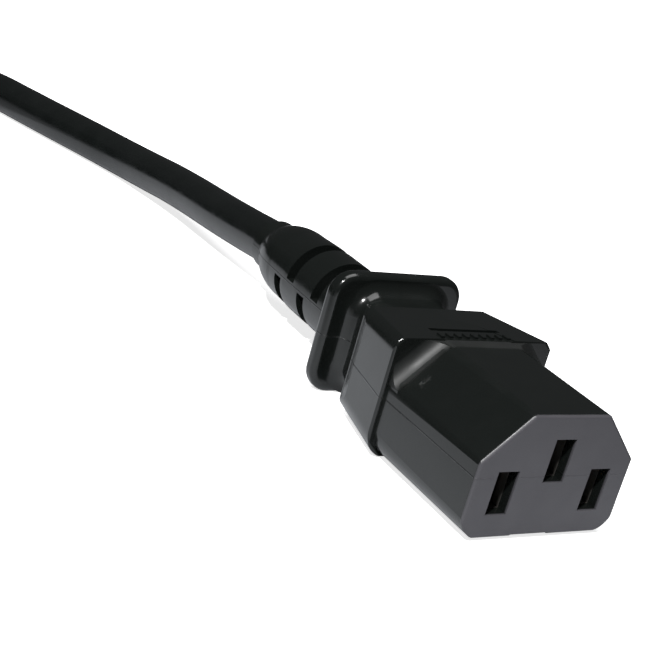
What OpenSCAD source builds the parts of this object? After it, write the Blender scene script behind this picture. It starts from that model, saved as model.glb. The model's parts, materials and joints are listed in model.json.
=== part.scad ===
// Moulded C13 power connector on a mains lead, with the lead's coil and the C14 plug at its far end.
// Millimetres. X is across the face, +Y runs from the mating face to the cord, +Z is up (earth side).
// The origin is the middle of the mating face, on the parting plane.

/* [Nose] */
// width of the nose at the mating face
nose_w = 23.3; // [22.8:0.1:24]
// height of the nose at the mating face
nose_h = 15.8; // [15.2:0.1:16.2]
// length of the nose from the face to the shoulder
nose_len = 19.4; // [18.6:0.1:20]
// leg of the two keyed corners, cut at 45 degrees
key_leg = 5.9; // [5.2:0.1:6.4]
// corner radius beside the keyed corners
key_r = 3; // [1.5:0.1:3.4]
// corner radius along the bottom of the nose
nose_bottom_r = 3.8; // [2:0.1:4.4]
// growth of each side from the face to the shoulder
nose_draft = 0.12; // [0:0.01:0.25]
// rounding of the edge round the mating face
face_edge_r = 0.45; // [0.2:0.05:0.8]
// depth of the shallow gate recess under the face
gate_depth = 0.3; // [0.1:0.05:0.6]
// width of the gate recess
gate_w = 5.8; // [3:0.1:8]

/* [Contact slots] */
// width of a slot
slot_w = 3.1; // [2.6:0.05:3.4]
// height of a slot
slot_h = 5.65; // [5:0.05:6]
// distance of the outer slots from the middle
slot_pitch = 7; // [6.8:0.1:7.2]
// distance of every slot above or below the parting plane
slot_offset = 2; // [1.8:0.1:2.2]

/* [Shoulder] */
// width of the shoulder at its front
shoulder_w = 24.9; // [24.4:0.1:26]
// width of the shoulder at its rear
shoulder_rear_w = 20.4; // [18:0.1:22]
// height of the shoulder above the parting plane at its front
shoulder_top = 8.4; // [8.2:0.1:9]
// height of the shoulder above the parting plane at its rear
shoulder_rear_top = 7.6; // [7.2:0.1:8.2]
// length of the shoulder
shoulder_len = 11.4; // [10:0.1:12]
// radius along the shoulder's upper edges
shoulder_top_r = 2.3; // [2:0.1:3]
// radius along the shoulder's lower edges
shoulder_bottom_r = 3.6; // [2:0.1:4.5]
// depth of the tapered panel on top of the shoulder
panel_depth = 0.35; // [0.1:0.05:0.5]
// height of the row of pips on the panel
pip_h = 0.35; // [0.2:0.05:0.5]
// number of pips in the row
pip_count = 9; // [5:1:11]
// radius where the keyed corners run into the shoulder
root_r = 2; // [1:0.1:2.5]

/* [Grip] */
// width of the waist between shoulder and wing
waist_w = 13.8; // [13:0.1:16]
// height of the waist
waist_h = 12.8; // [12:0.1:14]
// radius of the cove in front of the wing
cove_r = 2; // [1:0.1:2.4]
// distance from the mating face to the wing's front
wing_y = 37; // [36:0.1:40]
// thickness of the wing
wing_t = 2.4; // [2:0.1:3]
// width of the wing
wing_w = 21; // [20:0.1:22]
// height of the wing above the parting plane
wing_top = 8.9; // [8.3:0.1:9.2]
// corner radius of the wing
wing_corner_r = 3.3; // [2.5:0.1:4]
// rounding of the wing's edges
wing_edge_r = 0.9; // [0.4:0.1:1]

/* [Strain relief] */
// radius of the strain relief behind the wing
relief_r = 5.9; // [5.6:0.05:6.4]
// radius of the core inside the slotted stretch
relief_core_r = 4.3; // [4:0.05:4.6]
// width of one slot
relief_slot = 2; // [1.6:0.1:2.3]
// distance from one slot to the next on the other side
relief_pitch = 3.55; // [3.4:0.05:3.8]
// number of slots, taken from both sides in turn
relief_slots = 4; // [2:1:4]
// half thickness of the rib left along each side
relief_rib = 0.35; // [0.2:0.05:0.8]
// distance from the mating face to the relief's end
relief_end = 70.2; // [69:0.1:72]

/* [Inner parts] */
// thickness of the moulding in front of the insert
front_skin = 1.6; // [1.2:0.1:2]
// wall between the nose's side and the insert
insert_wall = 1.5; // [1.3:0.1:1.8]
// width of a contact chamber
chamber_w = 4.6; // [4.4:0.1:4.8]
// height of a contact chamber
chamber_h = 7; // [6.6:0.1:7.4]
// thickness of the contact strip
strip_t = 0.4; // [0.3:0.05:0.5]
// free gap between the two contact leaves
leaf_gap = 1.7; // [1.4:0.1:1.9]
// height of the contact leaves
leaf_h = 5; // [4:0.1:6]
// radius of one stranded conductor
conductor_r = 0.65; // [0.55:0.01:0.7]
// radius of one insulated core
core_r = 1.3; // [1.2:0.01:1.35]

/* [Cord] */
// outer diameter of the cord
cord_d = 7; // [6.6:0.1:7.2]
// turns of the coil side by side in one layer
coil_tracks = 2; // [2:1:2]
// layers of the coil
coil_layers = 4; // [4:1:4]
// thickness of the coil's strap
strap_t = 0.7; // [0.5:0.1:1]
// angle of the coil that the strap covers
strap_angle = 12; // [8:1:16]

/* [Plug] */
// clearance between the plug's shroud and the nose that it takes
shroud_gap = 0.45; // [0.3:0.05:0.6]
// wall of the shroud at its sides
shroud_wall = 2.3; // [2:0.1:3]
// depth of the shroud's recess
shroud_depth = 17; // [16.5:0.1:17.5]
// thickness of a flat pin
pin_t = 2; // [1.9:0.05:2.1]
// height of a flat pin
pin_h = 4; // [3.9:0.05:4.1]
// length that the line and neutral pins stand out of the recess floor
pin_out = 15.6; // [15:0.1:16]
// extra length of the earth pin
earth_extra = 0.8; // [0.4:0.1:1]

/* [Hidden] */
$fn = 48;
far = 60;
root2 = sqrt(2);

// the surface that connector, coil and plug lie on
rest_z = -8.3;
nose_hw = nose_w / 2;
nose_hh = nose_h / 2;
// distance from the middle to a keyed corner's flat, square to it
key_dist = (nose_hw + nose_hh - key_leg) / root2;
gate_x = -0.8;

shoulder_end = nose_len + shoulder_len;
shoulder_edge_r = 0.5;
shoulder_rear_r = 1;
// the underside of the shoulder rises by this much to the rear
shoulder_lift = 0.5;
panel_front_w = 12.8;
panel_rear_w = 2.4;
panel_end = shoulder_end - 1.6;
pip = [0.55, 1.1];
pip_y = nose_len + 1.1;
pip_step = 1.3;
groove = [11, 0.8, 0.3];
groove_y = nose_len + 2.8;

wing_end = wing_y + wing_t;
// profile of the strain relief: station and radius from the wing to the rounded end
relief_mid = [57, relief_r - 0.12];
relief_neck = [61.6, 5.55];
relief_tip = [68.6, 3.75];
relief_arc_r = 13;
relief_collar_r = 4;
relief_slot_y = 47;

insert_front = front_skin;
insert_end = 18;
insert_hw = nose_hw - insert_wall;
insert_hh = nose_hh - 1.7;
insert_key = key_dist * root2 - 2;
chamber_front = insert_front + 1.2;
chamber_end = 16.5;
slots = [[-slot_pitch, -slot_offset], [0, slot_offset], [slot_pitch, -slot_offset]];

leaf_front = chamber_front + 0.8;
leaf_pinch = leaf_front + 3;
leaf_end = chamber_end - 0.6;
leaf_mouth = 3.3;
leaf_rear = 3.6;
barrel_t = 0.4;
barrel_end = 22.4;
grip_end = 24.6;
seam_w = 0.3;

// the jacket ends here, and the three cores leave it
jacket_y = 34.5;
core_bend_y = 26.2;
core_join_y = 32.6;
lay_r = 1.56;
lay = [[-lay_r * cos(30), -lay_r / 2], [0, lay_r], [lay_r * cos(30), -lay_r / 2]];

// centreline of the cord from the jacket's end in the connector to the coil
lead_route = [
    [0, 34.5, 0], [0, 46, 0], [0, 58, 0], [0, 70, 0], [0, 78, -0.8], [0, 86, -1.6], [0, 93, -2.2], [0, 100, -2.8],
    [-0.3, 107, -3.4], [-0.8, 113, -4], [-1.5, 119, -4.5], [-2.7, 125, -4.8], [-4.3, 130, -4.8], [-6, 135, -4.8],
    [-9, 143.5, -4.8], [-11.7, 151.5, -4.8], [-14.5, 159.5, -4.8], [-19, 167.4, -4.8], [-25.5, 173.4, -4.8],
    [-33.2, 177, -4.8], [-42, 178, -4.8], [-52, 178, -4.8], [-62, 178, -4.8]
];
// centreline of the cord from the coil to the jacket's end in the plug
tail_route = [
    [-114, 138, 16.2], [-114, 128, 16.2], [-113.4, 118, 15.2], [-112, 108, 12.6], [-109.6, 98, 9],
    [-106.6, 88, 5.4], [-104.2, 80, 3.3], [-103, 72, 2.6], [-103, 62, 2.6], [-103, 51, 2.6], [-103, 39.5, 2.6]
];
cord_r = cord_d / 2;
cord_sides = 12;
core_sides = 10;
coil_centre = [-74, 138];
coil_mid_r = 36.5;
coil_w = coil_tracks * cord_d;
coil_h = coil_layers * cord_d;
coil_corner_r = 3.4;
strap_at = 264;
// part of the strap's thickness that is pulled into the turns
strap_sink = 0.3;

// the plug's shroud, and how much further back its grip sits than the connector's
plug_shift = 5;
plug_at = [-103, 0, 2.6];
shroud_hw = nose_hw + nose_draft + shroud_gap + shroud_wall;
shroud_hh = plug_at.z - rest_z;
shroud_len = nose_len + plug_shift;
shroud_corner_r = 3.6;
shroud_edge_r = 0.6;
carrier_end = shroud_depth + 7;
carrier_hw = insert_hw;
pin_end = chamber_end + plug_shift - 0.2;
pin_tip = 0.6;

black_pvc = [0.045, 0.05, 0.047];
grey_insert = [0.2, 0.2, 0.21];
brass = [0.78, 0.6, 0.28];
copper = [0.8, 0.42, 0.25];
nickel = [0.75, 0.74, 0.7];
brown_pvc = [0.3, 0.14, 0.07];
blue_pvc = [0.08, 0.22, 0.6];
green_pvc = [0.25, 0.55, 0.15];
strap_black = [0.03, 0.03, 0.03];

// ---------- shared forms ----------

// a drawing of X and Z as a bar along Y
module along_y(y0, y1) {
    translate([0, y1, 0])
        rotate([90, 0, 0])
            linear_extrude(height = y1 - y0)
                children();
}

// a drawing of radius and Y as a solid of revolution about the Y axis
module about_y() {
    rotate([-90, 0, 0])
        rotate_extrude()
            children();
}

module rod(r, y0, y1) {
    translate([0, y0, 0])
        rotate([-90, 0, 0])
            cylinder(r = r, h = y1 - y0);
}

// distance outwards and Y: a flat end out to d whose outer corners are rounded by e,
// or run out into a cove where e is negative
module end_profile(d, y0, y1, e0, e1) {
    polygon([
        [0, y0], [d - max(e0, 0), y0], [d, y0 + abs(e0)],
        [d, y1 - abs(e1)], [d - max(e1, 0), y1], [0, y1]
    ]);
    if (e0 > 0)
        translate([d - e0, y0 + e0])
            circle(e0);
    if (e1 > 0)
        translate([d - e1, y1 - e1])
            circle(e1);
    if (e1 < 0)
        difference() {
            translate([d - 0.01, y1 + e1])
                square([0.01 - e1, -e1]);
            translate([d - e1, y1 + e1])
                circle(-e1);
        }
}

// a slab from y0 to y1 with rounded corners and rounded or coved edges
module slab(hw, top, bottom, top_r, bottom_r, y0, y1, e0, e1) {
    for (side = [0, 1])
        mirror([side, 0, 0]) {
            translate([0, 0, -bottom + bottom_r])
                linear_extrude(height = top + bottom - top_r - bottom_r)
                    end_profile(hw, y0, y1, e0, e1);
            translate([hw - top_r, 0, top - top_r])
                slab_corner(top_r, y0, y1, e0, e1);
            translate([hw - bottom_r, 0, bottom_r - bottom])
                slab_corner(bottom_r, y0, y1, e0, e1);
        }
    rotate([0, -90, 0])
        linear_extrude(height = 2 * (hw - top_r), center = true)
            end_profile(top, y0, y1, e0, e1);
    rotate([0, 90, 0])
        linear_extrude(height = 2 * (hw - bottom_r), center = true)
            end_profile(bottom, y0, y1, e0, e1);
}

module slab_corner(r, y0, y1, e0, e1) {
    about_y()
        end_profile(r, y0, y1, e0, e1);
}

// everything inside a rounded edge that leaves [hw, y0, top] and runs back to [hw1, y1, top1]
module inside_edge(hw, hw1, top, top1, r, y0, y1) {
    translate([hw, y0, top])
        rotate([atan((top1 - top) / (y1 - y0)), 0, atan((hw - hw1) / (y1 - y0))])
            along_y(-far / 6, y1 - y0 + far / 6) {
                translate([-far, -far])
                    square([far - r, far]);
                translate([-far, -far])
                    square([far, far - r]);
                translate([-r, -r])
                    circle(r);
            }
}

function unit(v) = v / norm(v);

function heading(route, i) =
    unit(route[min(i + 1, len(route) - 1)] - route[max(i - 1, 0)]);

// one ring of the tube, square to the route and level across
function tube_ring(route, i, r, sides) =
    let (
        ahead = heading(route, i),
        across = unit([ahead.y, -ahead.x, 0]),
        up = cross(across, ahead)
    )
    [for (k = [0:sides - 1])
        route[i] + r * (cos(k * 360 / sides) * across + sin(k * 360 / sides) * up)];

// one solid swept along a route
module tube(route, r, sides) {
    rings = len(route);
    points = [for (i = [0:rings - 1]) each tube_ring(route, i, r, sides)];
    walls = [for (i = [0:rings - 2], k = [0:sides - 1])
        let (a = i * sides + k, b = i * sides + (k + 1) % sides)
        [a, b, b + sides, a + sides]];
    first = [for (k = [sides - 1:-1:0]) k];
    last = [for (k = [0:sides - 1]) (rings - 1) * sides + k];
    polyhedron(points = points, faces = concat(walls, [first, last]));
}

// everything inside a side that faces the given way, from its rounded end at y0 back to y1
module inside_end(turn, dist, r, y0, dist1, y1) {
    back = sign(y1 - y0);
    rotate([0, -turn, 0])
        linear_extrude(height = 2 * far, center = true) {
            polygon([[-far, y0], [dist - r, y0], [dist, y0 + back * r], [dist1, y1], [-far, y1]]);
            translate([dist - r, y0 + back * r])
                circle(r);
        }
}

// ---------- nose ----------

// section of the nose or of the recess that takes it, all sides moved out by grow
module nose_section(grow) {
    hw = nose_hw + grow;
    hh = nose_hh + grow;
    leg = hw + hh - (key_dist + grow) * root2;
    t = key_r * tan(22.5);
    c = t / root2;
    br = nose_bottom_r;
    for (side = [0, 1])
        mirror([side, 0]) {
            polygon([
                [-1, -hh], [hw - br, -hh], [hw, br - hh], [hw, hh - leg - t], [hw - c, hh - leg + c],
                [hw - leg + c, hh - c], [hw - leg - t, hh], [-1, hh]
            ]);
            translate([hw - br, br - hh])
                circle(br);
            translate([hw - key_r, hh - leg - t])
                circle(key_r);
            translate([hw - leg - t, hh - key_r])
                circle(key_r);
        }
}

// one side of the nose, rounded at the face and drafted to the shoulder
module face_side(turn, dist) {
    inside_end(turn, dist, face_edge_r, 0, dist + nose_draft, nose_len + 1);
}

module nose() {
    difference() {
        intersection() {
            along_y(0, nose_len + 1)
                nose_section(nose_draft);
            face_side(0, nose_hw);
            face_side(180, nose_hw);
            face_side(90, nose_hh);
            face_side(270, nose_hh);
            face_side(45, key_dist);
            face_side(135, key_dist);
        }
        translate([gate_x - gate_w / 2, -1, -nose_hh - 1])
            cube([gate_w, 2, 1 + gate_depth]);
    }
}

// the hollow root that carries a keyed corner into the shoulder
module key_root() {
    intersection() {
        along_y(nose_len - root_r, nose_len + 1)
            square([nose_w, nose_h], center = true);
        for (turn = [45, 135])
            rotate([0, -turn, 0])
                linear_extrude(height = 2 * far, center = true)
                    difference() {
                        translate([key_dist - 1, nose_len - root_r])
                            square([root_r + 1, root_r + 0.5]);
                        translate([key_dist + root_r, nose_len - root_r])
                            circle(root_r);
                    }
    }
}

// ---------- shoulder, waist, wing and strain relief ----------

module shoulder_panel() {
    slope = atan((shoulder_top - panel_depth - shoulder_rear_top + 0.05) / shoulder_len);
    intersection() {
        linear_extrude(height = far)
            polygon([
                [-panel_front_w / 2, nose_len - 1], [panel_front_w / 2, nose_len - 1],
                [panel_rear_w / 2, panel_end], [-panel_rear_w / 2, panel_end]
            ]);
        translate([0, nose_len, shoulder_top - panel_depth])
            rotate([-slope, 0, 0])
                translate([-far / 2, -2, 0])
                    cube([far, far, far]);
    }
}

module shoulder_pips() {
    first = -(pip_count - 1) / 2;
    for (i = [0:pip_count - 1])
        translate([(first + i) * pip_step - pip.x / 2, pip_y - pip.y / 2, nose_hh - 1])
            cube([pip.x, pip.y, 1 + pip_h]);
}

// the rounded front edge on the shoulder's sides and corners
module shoulder_fronts() {
    hw = shoulder_w / 2;
    low = -rest_z;
    top_corner = (hw + shoulder_top - 2 * shoulder_top_r) / root2 + shoulder_top_r;
    low_corner = (hw + low - 2 * shoulder_bottom_r) / root2 + shoulder_bottom_r;
    sides = [
        [0, hw], [180, hw], [90, shoulder_top], [270, low],
        [45, top_corner], [135, top_corner], [225, low_corner], [315, low_corner]
    ];
    intersection_for (s = sides)
        inside_end(s[0], s[1], shoulder_edge_r, nose_len, s[1] + 1, shoulder_end + 1);
}

module shoulder_rears() {
    hw1 = shoulder_rear_w / 2;
    sides = [[0, hw1], [180, hw1], [90, shoulder_rear_top], [270, -rest_z - shoulder_lift]];
    intersection_for (s = sides)
        inside_end(s[0], s[1], shoulder_rear_r, shoulder_end, s[1] + 4, nose_len - 1);
}

module shoulder() {
    hw = shoulder_w / 2;
    hw1 = shoulder_rear_w / 2;
    low = -rest_z;
    low1 = low - shoulder_lift;
    difference() {
        intersection() {
            inside_edge(hw, hw1, shoulder_top, shoulder_rear_top, shoulder_top_r, nose_len, shoulder_end);
            mirror([1, 0, 0])
                inside_edge(hw, hw1, shoulder_top, shoulder_rear_top, shoulder_top_r, nose_len, shoulder_end);
            mirror([0, 0, 1])
                inside_edge(hw, hw1, low, low1, shoulder_bottom_r, nose_len, shoulder_end);
            mirror([1, 0, 0])
                mirror([0, 0, 1])
                    inside_edge(hw, hw1, low, low1, shoulder_bottom_r, nose_len, shoulder_end);
            shoulder_fronts();
            shoulder_rears();
        }
        shoulder_panel();
        translate([-groove.x / 2, groove_y, nose_hh - groove.z])
            cube([groove.x, groove.y, 2]);
    }
    shoulder_pips();
}

module relief_profile() {
    mid_y = (relief_neck.x + relief_tip.x) / 2;
    mid_r = (relief_neck.y + relief_tip.y) / 2;
    run = norm(relief_tip - relief_neck);
    drop = sqrt(relief_arc_r * relief_arc_r - run * run / 4);
    along = (relief_tip - relief_neck) / run;
    polygon([
        [0, wing_end - 1], [relief_r, wing_end - 1], [relief_mid.y, relief_mid.x],
        [relief_neck.y, relief_neck.x], [relief_tip.y, relief_tip.x], [0, relief_tip.x]
    ]);
    intersection() {
        translate([mid_r - along.x * drop, mid_y + along.y * drop])
            circle(relief_arc_r, $fn = 160);
        translate([relief_tip.y, relief_neck.x])
            square([relief_neck.y - relief_tip.y, relief_tip.x - relief_neck.x]);
    }
    translate([0, relief_tip.x - 1])
        square([relief_collar_r, relief_end - relief_tip.x + 1]);
}

module relief_cut(side) {
    difference() {
        mirror([0, 0, side])
            translate([-far / 2, 0, relief_rib])
                cube([far, relief_slot, far]);
        rod(relief_core_r, -1, relief_slot + 1);
    }
}

module relief() {
    difference() {
        about_y()
            relief_profile();
        for (i = [0:relief_slots - 1])
            translate([0, relief_slot_y + i * relief_pitch, 0])
                relief_cut(i % 2);
    }
}

// shoulder, waist, wing and strain relief, the same on both ends of the cord
module grip() {
    shoulder();
    slab(waist_w / 2, waist_h / 2, waist_h / 2, cove_r + 1, cove_r + 1,
         shoulder_end - 1, wing_y, 0, -cove_r);
    slab(wing_w / 2, wing_top, -rest_z, wing_corner_r, wing_corner_r,
         wing_y, wing_end, wing_edge_r, wing_edge_r);
    relief();
}

// ---------- cores and crimps ----------

// way of core n from the given station into the jacket's end
function core_path(n, start) =
    let (from = slots[n], to = lay[n])
    [
        [from.x, start, from.y],
        for (t = [0:0.2:1])
            let (s = t * t * (3 - 2 * t), at = from + s * (to - from))
            [at.x, core_bend_y + t * (core_join_y - core_bend_y), at.y],
        [to.x, jacket_y, to.y]
    ];

module conductor(n) {
    tube(core_path(n, chamber_end), conductor_r, core_sides);
}

module core_insulation(n) {
    difference() {
        tube(core_path(n, barrel_end), core_r, core_sides);
        conductor(n);
    }
}

module seamed_barrel(inner, outer, y0, y1) {
    difference() {
        rod(outer, y0, y1);
        rod(inner, y0 - 1, y1 + 1);
        translate([-seam_w / 2, y0 - 1, 0])
            cube([seam_w, y1 - y0 + 2, outer + 1]);
    }
}

// the crimp that closes on a conductor and on its insulation
module crimp() {
    seamed_barrel(conductor_r, conductor_r + barrel_t, chamber_end - 0.6, barrel_end);
    seamed_barrel(core_r, core_r + barrel_t, barrel_end, grip_end);
    difference() {
        rod(core_r + barrel_t, barrel_end - barrel_t, barrel_end);
        rod(conductor_r, barrel_end - 1, barrel_end + 1);
    }
}

// the space that crimp, core and jacket take inside a moulding
module inner_run(n) {
    translate([slots[n].x, 0, slots[n].y]) {
        rod(conductor_r + barrel_t, chamber_end, barrel_end - barrel_t);
        rod(core_r + barrel_t, barrel_end - barrel_t, grip_end);
    }
    tube(core_path(n, barrel_end), core_r, core_sides);
}

module jacket_bore() {
    rod(cord_r, jacket_y, relief_end + 1);
}

// ---------- connector ----------

module slot_holes(y0, y1) {
    for (s = slots)
        translate([s.x - slot_w / 2, y0, s.y - slot_h / 2])
            cube([slot_w, y1 - y0, slot_h]);
}

module insert_block() {
    along_y(insert_front, insert_end)
        polygon([
            [-insert_hw, -insert_hh], [insert_hw, -insert_hh], [insert_hw, insert_key - insert_hw],
            [insert_key - insert_hh, insert_hh], [insert_hh - insert_key, insert_hh],
            [-insert_hw, insert_key - insert_hw]
        ]);
}

module connector_overmould() {
    color(black_pvc)
        difference() {
            union() {
                nose();
                key_root();
                grip();
            }
            insert_block();
            slot_holes(-1, insert_front + 1);
            for (n = [0:2])
                inner_run(n);
            jacket_bore();
        }
}

module connector_insert() {
    color(grey_insert)
        difference() {
            insert_block();
            slot_holes(insert_front - 1, chamber_front + 1);
            for (s = slots)
                translate([s.x, 0, s.y]) {
                    translate([-chamber_w / 2, chamber_front, -chamber_h / 2])
                        cube([chamber_w, chamber_end - chamber_front, chamber_h]);
                    rod(conductor_r + barrel_t, chamber_end - 1, insert_end + 1);
                }
        }
}

// plan of one contact leaf: flared mouth, pinch and the long spring back to the web
module leaf_plan() {
    pinch = leaf_gap / 2;
    rear = leaf_rear / 2 - strip_t;
    mouth = leaf_mouth / 2 - strip_t;
    polygon([
        [mouth, leaf_front], [mouth + strip_t, leaf_front], [pinch + strip_t, leaf_pinch],
        [rear + strip_t, leaf_end - 3], [rear + strip_t, leaf_end], [rear, leaf_end],
        [rear, leaf_end - 3], [pinch, leaf_pinch]
    ]);
}

module contact(n) {
    translate([slots[n].x, 0, slots[n].y]) {
        translate([0, 0, -leaf_h / 2])
            linear_extrude(height = leaf_h) {
                leaf_plan();
                mirror([1, 0])
                    leaf_plan();
                translate([-leaf_rear / 2, leaf_end - strip_t])
                    square([leaf_rear, strip_t]);
            }
        crimp();
    }
}

module contact_neutral() {
    color(brass)
        contact(0);
}

module contact_earth() {
    color(brass)
        contact(1);
}

module contact_line() {
    color(brass)
        contact(2);
}

module conductor_neutral() {
    color(copper)
        conductor(0);
}

module conductor_earth() {
    color(copper)
        conductor(1);
}

module conductor_line() {
    color(copper)
        conductor(2);
}

module core_neutral() {
    color(blue_pvc)
        core_insulation(0);
}

module core_earth() {
    color(green_pvc)
        core_insulation(1);
}

module core_line() {
    color(brown_pvc)
        core_insulation(2);
}

// ---------- cord ----------

// section of the coil's turns, or of the strap round them
module coil_section(grow, top_grow, bottom_grow) {
    w = coil_w + 2 * grow;
    h = coil_h + top_grow + bottom_grow;
    r = coil_corner_r + grow;
    translate([coil_mid_r, rest_z + coil_h / 2 + (top_grow - bottom_grow) / 2]) {
        square([w - 2 * r, h], center = true);
        square([w, h - 2 * r], center = true);
        for (sx = [-1, 1], sy = [-1, 1])
            translate([sx * (w / 2 - r), sy * (h / 2 - r)])
                circle(r);
    }
}

module coil_ring() {
    translate([coil_centre.x, coil_centre.y, 0])
        rotate_extrude($fn = 96)
            coil_section(0, 0, 0);
}

module strap_band() {
    out = strap_t - strap_sink;
    translate([coil_centre.x, coil_centre.y, 0])
        rotate([0, 0, strap_at])
            rotate_extrude(angle = strap_angle)
                difference() {
                    coil_section(out, out, 0);
                    coil_section(-strap_sink, -strap_sink, -strap_sink);
                }
}

module cord_lead() {
    color(black_pvc)
        difference() {
            tube(lead_route, cord_r, cord_sides);
            coil_ring();
        }
}

module cord_coil() {
    color(black_pvc)
        difference() {
            coil_ring();
            strap_band();
        }
}

module cord_tail() {
    color(black_pvc)
        difference() {
            tube(tail_route, cord_r, cord_sides);
            coil_ring();
        }
}

module coil_strap() {
    color(strap_black)
        strap_band();
}

// ---------- plug at the far end ----------

module plug_frame() {
    translate(plug_at)
        children();
}

module plug_inner() {
    translate([0, plug_shift, 0])
        children();
}

module carrier_block() {
    along_y(shroud_depth, carrier_end)
        square([2 * carrier_hw, 2 * insert_hh], center = true);
}

module plug_overmould() {
    color(black_pvc)
        plug_frame()
            difference() {
                union() {
                    slab(shroud_hw, shroud_hh, shroud_hh, shroud_corner_r, shroud_corner_r,
                         0, shroud_len + 1, shroud_edge_r, shroud_edge_r);
                    plug_inner()
                        grip();
                }
                along_y(-1, shroud_depth)
                    nose_section(nose_draft + shroud_gap);
                carrier_block();
                plug_inner() {
                    for (n = [0:2])
                        inner_run(n);
                    jacket_bore();
                }
            }
}

module plug_carrier() {
    color(grey_insert)
        plug_frame()
            difference() {
                carrier_block();
                for (n = [0:2]) {
                    pin_blade(n);
                    plug_inner()
                        inner_run(n);
                }
            }
}

// flat pin with a tapered tip
module pin_blade(n) {
    tip = shroud_depth - pin_out - (n == 1 ? earth_extra : 0);
    ht = pin_t / 2;
    hh = pin_h / 2;
    translate([slots[n].x, 0, slots[n].y])
        intersection() {
            translate([-ht, tip, -hh])
                cube([pin_t, pin_end - tip, pin_h]);
            linear_extrude(height = far, center = true)
                polygon([
                    [pin_tip - ht, tip], [ht - pin_tip, tip], [ht, tip + 2 * pin_tip],
                    [ht, pin_end], [-ht, pin_end], [-ht, tip + 2 * pin_tip]
                ]);
            rotate([0, 90, 0])
                linear_extrude(height = far, center = true)
                    polygon([
                        [pin_tip - hh, tip], [hh - pin_tip, tip], [hh, tip + 2 * pin_tip],
                        [hh, pin_end], [-hh, pin_end], [-hh, tip + 2 * pin_tip]
                    ]);
        }
}

module pin(n) {
    plug_frame() {
        pin_blade(n);
        plug_inner()
            translate([slots[n].x, 0, slots[n].y])
                crimp();
    }
}

module pin_neutral() {
    color(nickel)
        pin(0);
}

module pin_earth() {
    color(nickel)
        pin(1);
}

module pin_line() {
    color(nickel)
        pin(2);
}

module plug_wiring() {
    plug_frame()
        plug_inner()
            children();
}

module plug_conductor_neutral() {
    color(copper)
        plug_wiring()
            conductor(0);
}

module plug_conductor_earth() {
    color(copper)
        plug_wiring()
            conductor(1);
}

module plug_conductor_line() {
    color(copper)
        plug_wiring()
            conductor(2);
}

module plug_core_neutral() {
    color(blue_pvc)
        plug_wiring()
            core_insulation(0);
}

module plug_core_earth() {
    color(green_pvc)
        plug_wiring()
            core_insulation(1);
}

module plug_core_line() {
    color(brown_pvc)
        plug_wiring()
            core_insulation(2);
}

connector_overmould();
connector_insert();
contact_neutral();
contact_earth();
contact_line();
conductor_neutral();
conductor_earth();
conductor_line();
core_neutral();
core_earth();
core_line();
cord_lead();
cord_coil();
cord_tail();
coil_strap();
plug_overmould();
plug_carrier();
pin_neutral();
pin_earth();
pin_line();
plug_conductor_neutral();
plug_conductor_earth();
plug_conductor_line();
plug_core_neutral();
plug_core_earth();
plug_core_line();
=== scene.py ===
"""A moulded C13 connector lying on a white table with its lead, seen from its front left.

The frame is the CAD part, in metres: X across the mating face, +Y towards the cord, +Z up, origin in the middle
of the mating face.
"""

import json
import math

import bpy
from mathutils import Matrix, Vector


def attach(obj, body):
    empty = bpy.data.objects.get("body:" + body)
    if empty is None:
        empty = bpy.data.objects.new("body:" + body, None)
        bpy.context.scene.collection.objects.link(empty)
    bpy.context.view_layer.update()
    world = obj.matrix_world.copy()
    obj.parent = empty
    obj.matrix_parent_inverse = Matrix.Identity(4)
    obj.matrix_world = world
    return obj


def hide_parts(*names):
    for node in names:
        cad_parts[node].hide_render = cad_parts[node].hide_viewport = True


MM = 0.001

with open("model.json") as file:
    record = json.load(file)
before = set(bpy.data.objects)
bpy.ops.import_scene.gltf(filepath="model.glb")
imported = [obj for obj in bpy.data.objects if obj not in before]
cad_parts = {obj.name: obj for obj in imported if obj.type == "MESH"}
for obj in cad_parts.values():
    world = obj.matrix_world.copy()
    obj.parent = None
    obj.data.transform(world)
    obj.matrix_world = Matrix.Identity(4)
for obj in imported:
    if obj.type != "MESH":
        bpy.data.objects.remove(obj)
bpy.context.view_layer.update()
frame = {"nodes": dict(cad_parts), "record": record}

TABLE_Z = -8.3 * MM

# ---------------------------------------------------------------- camera

CAMERA_PLACE = Vector((-110.93, -104.06, 63.71)) * MM
CAMERA_YAW = 35.42
CAMERA_PITCH = -19.73
CAMERA_ROLL = 15.69
CAMERA_LENS = 78.03


def camera_matrix(place, yaw, pitch, roll):
    """Yaw turns the view from +Y towards +X, pitch lifts it, and roll turns the picture about the view."""
    yaw, pitch, roll = (math.radians(angle) for angle in (yaw, pitch, roll))
    forward = Vector((math.sin(yaw) * math.cos(pitch), math.cos(yaw) * math.cos(pitch), math.sin(pitch)))
    level = Vector((math.cos(yaw), -math.sin(yaw), 0))
    upright = level.cross(forward)
    right = math.cos(roll) * level + math.sin(roll) * upright
    up = math.cos(roll) * upright - math.sin(roll) * level
    matrix = Matrix((right, up, -forward)).transposed().to_4x4()
    matrix.translation = place
    return matrix


def make_camera():
    data = bpy.data.cameras.new("camera")
    data.lens = CAMERA_LENS
    data.sensor_width = 36
    data.clip_start = 0.01
    camera = bpy.data.objects.new("camera", data)
    bpy.context.collection.objects.link(camera)
    camera.matrix_world = camera_matrix(CAMERA_PLACE, CAMERA_YAW, CAMERA_PITCH, CAMERA_ROLL)
    bpy.context.scene.camera = camera


# ---------------------------------------------------------------- cord

CORD_R = 3.5 * MM
CURVE_STEPS = 4
CURVE_ROUNDING = 7

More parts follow.
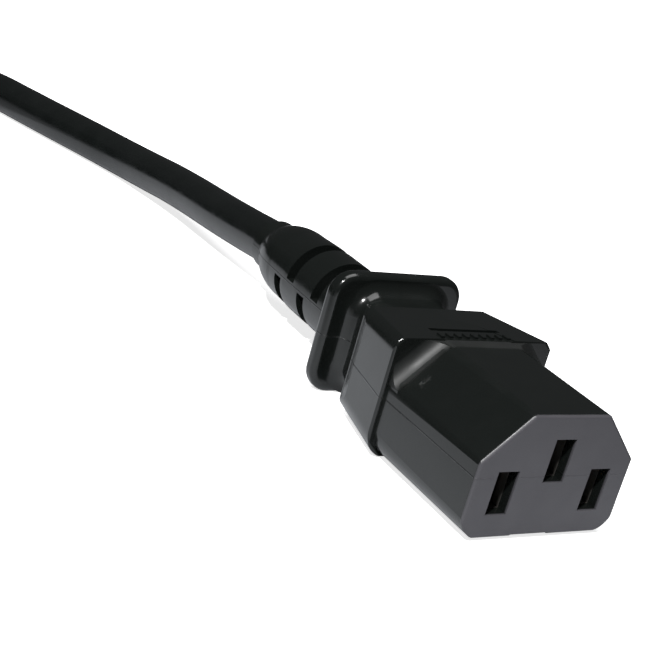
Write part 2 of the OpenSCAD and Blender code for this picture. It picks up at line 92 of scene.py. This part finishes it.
LEAD_ROUTE = [
    (0, 46, 0), (0, 58, 0), (0, 70, 0), (0, 78, -0.8), (0, 86, -1.6), (0, 93, -2.2), (0, 100, -2.8),
    (-0.3, 107, -3.4), (-0.8, 113, -4), (-1.5, 119, -4.5), (-2.7, 125, -4.8), (-4.3, 130, -4.8),
    (-6, 135, -4.8), (-9, 143.5, -4.8), (-11.7, 151.5, -4.8), (-14.5, 159.5, -4.8), (-19, 167.4, -4.8),
    (-25.5, 173.4, -4.8), (-33.2, 177, -4.8), (-42, 178, -4.8), (-52, 178, -4.8), (-62, 178, -4.8),
]
TAIL_ROUTE = [
    (-114, 128, 16.2), (-113.4, 118, 15.2), (-112, 108, 12.6), (-109.6, 98, 9), (-106.6, 88, 5.4),
    (-104.2, 80, 3.3), (-103, 72, 2.6), (-103, 62, 2.6), (-103, 51, 2.6),
]

COIL_CENTRE = (-74, 138)
COIL_INNER = 33
COIL_OUTER = 40
COIL_LOW = -4.8
LAYER = 7
# the track of each turn: radius and layer
COIL_TRACKS = [
    (COIL_OUTER, 0), (COIL_INNER, 0), (COIL_INNER, 1), (COIL_OUTER, 1),
    (COIL_OUTER, 2), (COIL_INNER, 2), (COIL_INNER, 3), (COIL_OUTER, 3),
]
COIL_START = 90
COIL_STOP = 6 * 360 + 180
# a turn changes to the next track over this stretch, each one clear of the change above it
CHANGE_FROM = 100
CHANGE_SPAN = 46
CHANGE_STAGGER = 40
COIL_STEP = 10


def ease(t):
    t = min(max(t, 0), 1)
    return t * t * (3 - 2 * t)


def coil_point(angle):
    """The cord's centre at an angle along the coil, which steps over to the next track once a turn."""
    radius, layer = COIL_TRACKS[0]
    for turn, (here, there) in enumerate(zip(COIL_TRACKS, COIL_TRACKS[1:])):
        start = 360 * turn + CHANGE_FROM + CHANGE_STAGGER * (len(COIL_TRACKS) - 2 - turn)
        part = ease((angle - start) / CHANGE_SPAN)
        radius += part * (there[0] - here[0])
        layer += part * (there[1] - here[1])
    turned = math.radians(angle)
    return (COIL_CENTRE[0] + radius * math.cos(turned), COIL_CENTRE[1] + radius * math.sin(turned),
            COIL_LOW + layer * LAYER)


def cord_route():
    turns = [coil_point(angle) for angle in range(COIL_START, COIL_STOP + 1, COIL_STEP)]
    return [Vector(point) * MM for point in LEAD_ROUTE + turns + TAIL_ROUTE]


def smooth_curve(name, points, radius):
    """One open spline through the points, with a round section that takes its radius from the points."""
    data = bpy.data.curves.new(name, "CURVE")
    data.dimensions = "3D"
    data.bevel_depth = 1
    data.bevel_resolution = CURVE_ROUNDING
    data.resolution_u = CURVE_STEPS
    data.use_fill_caps = True
    spline = data.splines.new("BEZIER")
    spline.bezier_points.add(len(points) - 1)
    for i, (knot, point) in enumerate(zip(spline.bezier_points, points)):
        before = points[max(i - 1, 0)]
        after = points[min(i + 1, len(points) - 1)]
        ahead = (after - before).normalized()
        knot.co = point
        knot.radius = radius
        knot.handle_left = point - ahead * (point - before).length / 3
        knot.handle_right = point + ahead * (after - point).length / 3
    piece = bpy.data.objects.new(name, data)
    bpy.context.collection.objects.link(piece)
    return piece


def make_cord():
    cord = smooth_curve("mains_cord", cord_route(), CORD_R)
    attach(cord, "root")
    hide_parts("cord_lead", "cord_coil", "cord_tail")
    return cord


# ---------------------------------------------------------------- material helpers


class Nodes:
    """Short names for building one material's node tree."""

    def __init__(self, name):
        self.material = bpy.data.materials.new(name)
        self.material.use_nodes = True
        self.tree = self.material.node_tree
        self.shader = self.tree.nodes["Principled BSDF"]
        self.place = self.tree.nodes.new("ShaderNodeTexCoord").outputs["Object"]

    def link(self, source, target):
        self.tree.links.new(source, target)

    def math(self, operation, *values, clamp=False):
        node = self.tree.nodes.new("ShaderNodeMath")
        node.operation = operation
        node.use_clamp = clamp
        for socket, value in zip(node.inputs, values):
            if isinstance(value, (int, float)):
                socket.default_value = value
            else:
                self.link(value, socket)
        return node.outputs[0]

    def axis(self, name):
        node = self.tree.nodes.new("ShaderNodeSeparateXYZ")
        self.link(self.place, node.inputs[0])
        return node.outputs[name]

    def stretched(self, scale):
        node = self.tree.nodes.new("ShaderNodeMapping")
        node.inputs["Scale"].default_value = scale
        self.link(self.place, node.inputs["Vector"])
        return node.outputs[0]

    def noise(self, scale, detail=3, roughness=0.5, place=None):
        node = self.tree.nodes.new("ShaderNodeTexNoise")
        node.inputs["Scale"].default_value = scale
        node.inputs["Detail"].default_value = detail
        node.inputs["Roughness"].default_value = roughness
        self.link(place or self.place, node.inputs["Vector"])
        return node.outputs["Fac"]

    def ramp(self, value, low, high, out_low=0.0, out_high=1.0):
        node = self.tree.nodes.new("ShaderNodeMapRange")
        node.interpolation_type = "SMOOTHSTEP"
        for name, number in (("From Min", low), ("From Max", high), ("To Min", out_low), ("To Max", out_high)):
            node.inputs[name].default_value = number
        self.link(value, node.inputs["Value"])
        return node.outputs[0]

    def mix(self, factor, low, high):
        node = self.tree.nodes.new("ShaderNodeMix")
        node.data_type = "RGBA"
        self.link(factor, node.inputs["Factor"])
        node.inputs["A"].default_value = (*low, 1)
        node.inputs["B"].default_value = (*high, 1)
        return node.outputs["Result"]

    def bump(self, height, distance, strength=1.0, normal=None):
        node = self.tree.nodes.new("ShaderNodeBump")
        node.inputs["Distance"].default_value = distance
        node.inputs["Strength"].default_value = strength
        self.link(height, node.inputs["Height"])
        if normal:
            self.link(normal, node.inputs["Normal"])
        return node.outputs[0]

    def set(self, **values):
        for name, value in values.items():
            self.shader.inputs[name.replace("_", " ")].default_value = value


# ---------------------------------------------------------------- materials

BLACK = (0.006, 0.0072, 0.0066)
FACE_GREY = (0.062, 0.06, 0.067)


def overmould_material():
    """Glossy black PVC with fine wear, a line where the mould halves met, and a matte textured mating face."""
    n = Nodes("moulded_pvc")
    y = n.axis("Y")
    z = n.axis("Z")
    face = n.ramp(y, 0.1 * MM, 0.45 * MM, 1.0, 0.0)
    n.link(n.mix(face, BLACK, FACE_GREY), n.shader.inputs["Base Color"])
    blotch = n.noise(260, 4)
    gloss = n.ramp(blotch, 0.3, 0.7, 0.13, 0.22)
    root = n.math("MULTIPLY", n.ramp(y, 17 * MM, 17.8 * MM), n.ramp(y, 19.36 * MM, 19.42 * MM, 1.0, 0.0))
    root = n.math("MULTIPLY", root, n.ramp(z, 1.6 * MM, 2.2 * MM))
    rough = n.math("ADD", gloss, n.math("MULTIPLY", n.math("MAXIMUM", face, root), 0.35))
    n.link(rough, n.shader.inputs["Roughness"])
    grain = n.bump(n.noise(2600, 2), 0.02 * MM, 0.35)
    seam = n.math("ABSOLUTE", z)
    flash = n.ramp(seam, 0.02 * MM, 0.09 * MM, 1.0, 0.0)
    n.link(n.bump(flash, 0.08 * MM, 0.8, grain), n.shader.inputs["Normal"])
    n.set(IOR=1.5)
    return n.material


def cord_material():
    n = Nodes("cord_jacket_pvc")
    n.link(n.mix(n.noise(180, 3), (0.004, 0.005, 0.0048), (0.007, 0.0082, 0.0078)), n.shader.inputs["Base Color"])
    n.link(n.ramp(n.noise(320, 3), 0.3, 0.7, 0.16, 0.26), n.shader.inputs["Roughness"])
    n.link(n.bump(n.noise(420, 2), 0.05 * MM, 0.15), n.shader.inputs["Normal"])
    n.set(IOR=1.5)
    return n.material


def metal_material(name, dark, light, rough):
    n = Nodes(name)
    n.link(n.mix(n.noise(900, 3), dark, light), n.shader.inputs["Base Color"])
    n.link(n.ramp(n.noise(1500, 2), 0.3, 0.7, rough - 0.06, rough + 0.08), n.shader.inputs["Roughness"])
    n.set(Metallic=1.0)
    return n.material


def plastic_material(name, dark, light, rough):
    n = Nodes(name)
    n.link(n.mix(n.noise(500, 3), dark, light), n.shader.inputs["Base Color"])
    n.link(n.ramp(n.noise(900, 2), 0.3, 0.7, rough - 0.05, rough + 0.05), n.shader.inputs["Roughness"])
    n.link(n.bump(n.noise(1800, 2), 0.02 * MM, 0.3), n.shader.inputs["Normal"])
    return n.material


def strap_material():
    n = Nodes("woven_strap")
    weave = n.noise(2400, 2, place=n.stretched((1, 1, 3)))
    n.link(n.mix(weave, (0.01, 0.01, 0.01), (0.04, 0.04, 0.042)), n.shader.inputs["Base Color"])
    n.link(n.bump(weave, 0.15 * MM, 0.8), n.shader.inputs["Normal"])
    n.set(Roughness=0.85)
    return n.material


def dress_nodes():
    materials = {
        "black_pvc": overmould_material(),
        "cord_pvc": cord_material(),
        "insert_plastic": plastic_material("insert_plastic", (0.03, 0.028, 0.026), (0.05, 0.046, 0.042), 0.5),
        "contact_brass": metal_material("contact_brass", (0.45, 0.3, 0.12), (0.62, 0.44, 0.2), 0.35),
        "pin_nickel": metal_material("pin_nickel", (0.55, 0.54, 0.5), (0.7, 0.69, 0.65), 0.25),
        "copper": metal_material("copper", (0.6, 0.3, 0.18), (0.8, 0.45, 0.28), 0.35),
        "core_blue": plastic_material("core_blue", (0.04, 0.12, 0.4), (0.06, 0.18, 0.5), 0.4),
        "core_green_yellow": plastic_material("core_green_yellow", (0.15, 0.4, 0.08), (0.5, 0.55, 0.08), 0.4),
        "core_brown": plastic_material("core_brown", (0.16, 0.07, 0.03), (0.24, 0.11, 0.05), 0.4),
        "strap": strap_material(),
    }
    for part in frame["record"]["subparts"]:
        node = frame["nodes"][part["node"]]
        for slot in node.material_slots:
            slot.material = materials[part["material_slot"]]
    return materials


# ---------------------------------------------------------------- table and light


TABLE_REACH = 1.2
# the paper's colour is painted light up to the first distance aside and painted dark from the second on
PAINTED_LIGHT_UNTIL = 15 * MM
PAINTED_SHADE_FROM = 70 * MM
PAPER_GLOW = 0.78


def make_table():
    size = TABLE_REACH
    mesh = bpy.data.meshes.new("table")
    corners = [(-size, -size, TABLE_Z), (size, -size, TABLE_Z), (size, size, TABLE_Z), (-size, size, TABLE_Z)]
    mesh.from_pydata(corners, [], [(0, 1, 2, 3)])
    table = bpy.data.objects.new("table", mesh)
    bpy.context.collection.objects.link(table)
    n = Nodes("white_table")
    # near the object the paper's colour is painted light, further off it is painted dark as if it fell into a
    # dark room; this painted light and shade shows only in reflections and bounce light, and the camera sees the
    # paper burnt out
    aside = n.math("ABSOLUTE", n.axis("X"))
    painted_light_and_shade = n.mix(n.ramp(aside, PAINTED_LIGHT_UNTIL, PAINTED_SHADE_FROM), (0.6, 0.62, 0.65), (0.06, 0.06, 0.062))
    seen = n.tree.nodes.new("ShaderNodeLightPath").outputs["Is Camera Ray"]
    blend = n.tree.nodes.new("ShaderNodeMix")
    blend.data_type = "RGBA"
    n.link(seen, blend.inputs["Factor"])
    n.link(painted_light_and_shade, blend.inputs["A"])
    blend.inputs["B"].default_value = (0.9, 0.9, 0.9, 1)
    n.link(blend.outputs["Result"], n.shader.inputs["Base Color"])
    n.link(n.math("MULTIPLY", seen, PAPER_GLOW), n.shader.inputs["Emission Strength"])
    n.set(Roughness=0.7, Emission_Color=(1, 1, 1, 1))
    mesh.materials.append(n.material)


def area_light(name, place, target, size, power):
    data = bpy.data.lights.new(name, "AREA")
    data.shape = "RECTANGLE"
    data.size = size[0]
    data.size_y = size[1]
    data.energy = power
    light = bpy.data.objects.new(name, data)
    bpy.context.collection.objects.link(light)
    light.location = place
    light.rotation_euler = (Vector(target) - Vector(place)).to_track_quat("-Z", "Y").to_euler()
    return light


def make_light():
    area_light("overhead", (0.03, 0.06, 0.9), (0, 0.06, 0), (0.7, 0.7), 6)
    area_light("key", (-0.42, -0.24, 0.56), (0, 0.03, 0), (0.04, 0.04), 7)
    world = bpy.data.worlds.new("room")
    world.use_nodes = True
    tree = world.node_tree
    background = tree.nodes["Background"]
    path = tree.nodes.new("ShaderNodeLightPath")
    colour = tree.nodes.new("ShaderNodeMix")
    colour.data_type = "RGBA"
    colour.inputs["A"].default_value = (0.04, 0.04, 0.042, 1)
    colour.inputs["B"].default_value = (1, 1, 1, 1)
    tree.links.new(path.outputs["Is Camera Ray"], colour.inputs["Factor"])
    tree.links.new(colour.outputs["Result"], background.inputs["Color"])
    bpy.context.scene.world = world


make_camera()
cord = make_cord()
materials = dress_nodes()
cord.data.materials.append(materials["cord_pvc"])
make_table()
make_light()
bpy.context.scene.view_settings.view_transform = "Standard"

bpy.context.view_layer.update()
